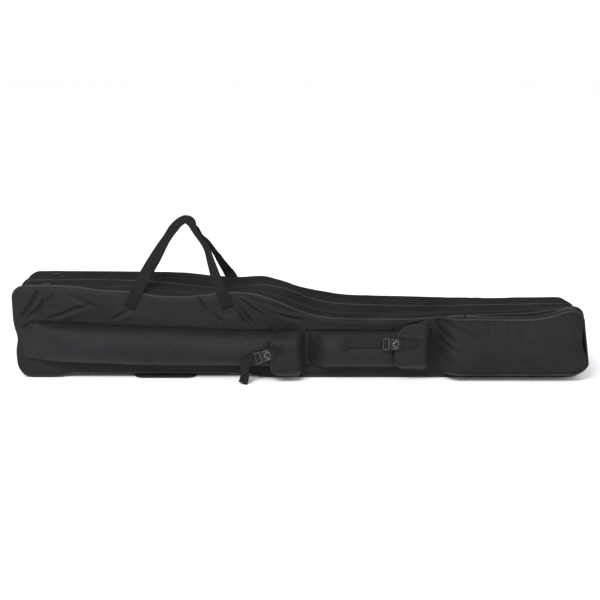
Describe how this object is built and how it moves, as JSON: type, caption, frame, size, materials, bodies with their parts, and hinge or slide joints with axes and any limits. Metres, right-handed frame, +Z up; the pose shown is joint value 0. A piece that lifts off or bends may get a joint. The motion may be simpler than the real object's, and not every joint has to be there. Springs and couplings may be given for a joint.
{
  "type": "fishing rod case",
  "caption": "Long soft fishing-rod holdall with zipped front and rear compartments, tube pockets closed by buckled flaps, a zipped tip pocket, webbing handles and a shoulder strap.",
  "frame": {"origin": "on the underside of the base, below the middle of the bag's length and depth", "axes": "+X along the bag from the reel end to the tip end, +Y towards the rear cover, +Z up"},
  "size_m": [1.605, 0.3479, 0.4445],
  "materials": {
    "shell": "black woven polyester, PVC backed, semi-matt",
    "lining": "thin grey-black lining cloth, matt",
    "webbing": "black polypropylene webbing, ribbed",
    "piping": "black corded piping and seam binding",
    "zip_tape": "black coil zip and tape",
    "slider": "black painted die-cast zinc, satin",
    "buckle": "black acetal, glossy",
    "pad": "padded black cloth"
  },
  "bodies": {
    "bag": {"base_gusset": "shell", "base_piping": "piping", "divider_panel": "lining", "front_inner_band": "shell", "rear_inner_band": "shell", "middle_piping": "piping", "front_zip_inner": "zip_tape", "rear_zip_inner": "zip_tape", "front_rod_straps": "webbing", "rear_rod_straps": "webbing", "shoulder_strap_left": "webbing", "shoulder_strap_right": "webbing"},
    "pad": {"shoulder_pad": "pad"},
    "adjuster": {"strap_adjuster": "buckle"},
    "front_cover": {"front_panel": "shell", "front_rim": "shell", "front_piping": "piping", "front_zip_outer": "zip_tape", "front_handle_tabs": "webbing", "long_pocket": "shell", "long_pocket_hem": "piping", "short_pocket": "shell", "short_pocket_hem": "piping", "long_tail_strap": "webbing", "short_tail_strap": "webbing", "tip_pocket_gusset": "shell", "tip_zip_inner": "zip_tape"},
    "tip_cover": {"tip_pocket_front": "shell", "tip_pocket_rim": "shell", "tip_zip_outer": "zip_tape", "tip_pocket_piping": "piping"},
    "rear_cover": {"rear_panel": "shell", "rear_rim": "shell", "rear_piping": "piping", "rear_zip_outer": "zip_tape", "rear_handle_tabs": "webbing"},
    "front_handle": {"front_handle": "webbing"},
    "rear_handle": {"rear_handle": "webbing"},
    "long_flap": {"long_flap": "shell", "long_flap_binding": "piping", "long_flap_strap": "webbing", "long_buckle_socket": "buckle"},
    "short_flap": {"short_flap": "shell", "short_flap_binding": "piping", "short_flap_strap": "webbing", "short_buckle_socket": "buckle"},
    "long_plug": {"long_buckle_plug": "buckle"},
    "long_upper_prong": {"long_upper_prong": "buckle"},
    "long_lower_prong": {"long_lower_prong": "buckle"},
    "short_plug": {"short_buckle_plug": "buckle"},
    "short_upper_prong": {"short_upper_prong": "buckle"},
    "short_lower_prong": {"short_lower_prong": "buckle"},
    "front_slider": {"front_zip_slider": "slider"},
    "front_pull": {"front_zip_pull": "slider"},
    "rear_slider": {"rear_zip_slider": "slider"},
    "rear_pull": {"rear_zip_pull": "slider"},
    "tip_slider": {"tip_zip_slider": "slider"},
    "tip_pull": {"tip_zip_pull": "slider"}
  },
  "joints": [
    {"name": "front_cover_fold", "type": "hinge", "parent": "bag", "child": "front_cover", "pos_m": [0, -0.1, 0.0032], "axis": [1, 0, 0], "range_deg": [0, 30]},
    {"name": "rear_cover_fold", "type": "hinge", "parent": "bag", "child": "rear_cover", "pos_m": [0, 0.1, 0.0032], "axis": [-1, 0, 0], "range_deg": [0, 75]},
    {"name": "tip_cover_fold", "type": "hinge", "parent": "front_cover", "child": "tip_cover", "pos_m": [0, -0.13, 0.024], "axis": [1, 0, 0], "range_deg": [0, 25]},
    {"name": "front_handle_swing", "type": "hinge", "parent": "front_cover", "child": "front_handle", "pos_m": [0, -0.1044, 0.24], "axis": [-1, 0, 0], "range_deg": [-170, 0]},
    {"name": "rear_handle_swing", "type": "hinge", "parent": "rear_cover", "child": "rear_handle", "pos_m": [0, 0.1044, 0.24], "axis": [1, 0, 0], "range_deg": [-172, 0]},
    {"name": "long_flap_swing", "type": "hinge", "parent": "front_cover", "child": "long_flap", "pos_m": [0.011, -0.102, 0], "axis": [0, 0, 1], "range_deg": [0, 60]},
    {"name": "short_flap_swing", "type": "hinge", "parent": "front_cover", "child": "short_flap", "pos_m": [0.366, -0.102, 0], "axis": [0, 0, 1], "range_deg": [0, 55]},
    {"name": "long_buckle_release", "type": "slide", "parent": "front_cover", "child": "long_plug", "axis": [-0.9511, 0, -0.309], "range_m": [0, 0.03]},
    {"name": "short_buckle_release", "type": "slide", "parent": "front_cover", "child": "short_plug", "axis": [-1, 0, 0], "range_m": [0, 0.03]},
    {"name": "long_upper_press", "type": "slide", "parent": "long_plug", "child": "long_upper_prong", "axis": [0.309, 0, -0.9511], "range_m": [0, 0.0025], "stiffness_N_per_m": 1500},
    {"name": "long_lower_press", "type": "slide", "parent": "long_plug", "child": "long_lower_prong", "axis": [-0.309, 0, 0.9511], "range_m": [0, 0.0025], "stiffness_N_per_m": 1500},
    {"name": "short_upper_press", "type": "slide", "parent": "short_plug", "child": "short_upper_prong", "axis": [0, 0, -1], "range_m": [0, 0.0025], "stiffness_N_per_m": 1500},
    {"name": "short_lower_press", "type": "slide", "parent": "short_plug", "child": "short_lower_prong", "axis": [0, 0, 1], "range_m": [0, 0.0025], "stiffness_N_per_m": 1500},
    {"name": "front_zip_run", "type": "slide", "parent": "bag", "child": "front_slider", "axis": [1, 0, 0], "range_m": [0, 0.24]},
    {"name": "front_pull_flip", "type": "hinge", "parent": "front_slider", "child": "front_pull", "pos_m": [-0.6925, -0.05825, 0.2618], "axis": [0, 1, 0], "range_deg": [0, 170]},
    {"name": "rear_zip_run", "type": "slide", "parent": "bag", "child": "rear_slider", "axis": [1, 0, 0], "range_m": [0, 0.24]},
    {"name": "rear_pull_flip", "type": "hinge", "parent": "rear_slider", "child": "rear_pull", "pos_m": [-0.6925, 0.05825, 0.2618], "axis": [0, 1, 0], "range_deg": [0, 170]},
    {"name": "tip_zip_run", "type": "slide", "parent": "front_cover", "child": "tip_slider", "axis": [1, 0, 0], "range_m": [0, 0.18]},
    {"name": "tip_pull_flip", "type": "hinge", "parent": "tip_slider", "child": "tip_pull", "pos_m": [0.4555, -0.12625, 0.1878], "axis": [0, 1, 0], "range_deg": [0, 170]},
    {"name": "pad_slide", "type": "slide", "parent": "bag", "child": "pad", "axis": [1, 0, 0], "range_m": [-0.01, 0.03]},
    {"name": "adjuster_slide", "type": "slide", "parent": "bag", "child": "adjuster", "axis": [-1, 0, 0], "range_m": [0, 0.09]}
  ]
}
